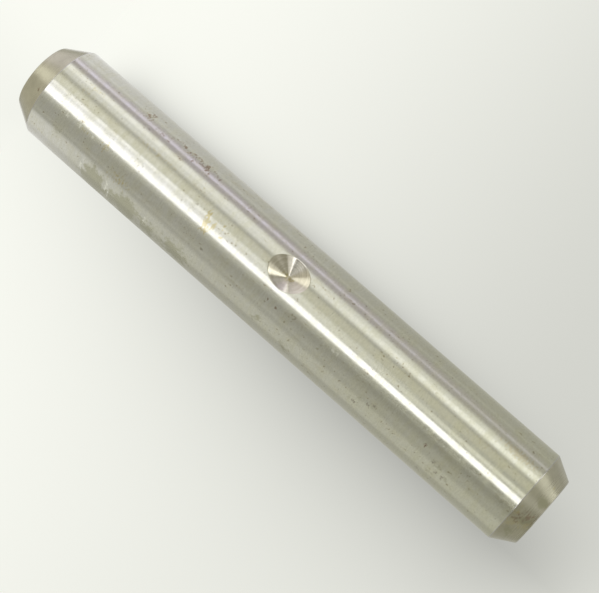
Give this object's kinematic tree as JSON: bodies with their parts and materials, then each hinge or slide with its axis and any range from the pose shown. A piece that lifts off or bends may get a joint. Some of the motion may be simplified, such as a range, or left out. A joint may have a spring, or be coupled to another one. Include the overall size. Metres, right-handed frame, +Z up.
{
  "type": "cylinder shaft",
  "caption": "Plain ground steel shaft with long lead-in chamfers at its ends and a drilled set-screw seat at mid-length.",
  "frame": {"origin": "centre of the lower end face, on which the shaft stands", "axes": "+Z up the shaft's axis, from the end with the longer chamfer to the end with the shorter one; the set-screw seat opens towards +X"},
  "size_m": [0.016, 0.016, 0.1015],
  "materials": {
    "steel": "ground steel, worn and lightly stained, with turned chamfers"
  },
  "bodies": {
    "root": {"shaft": "steel"}
  },
  "joints": []
}
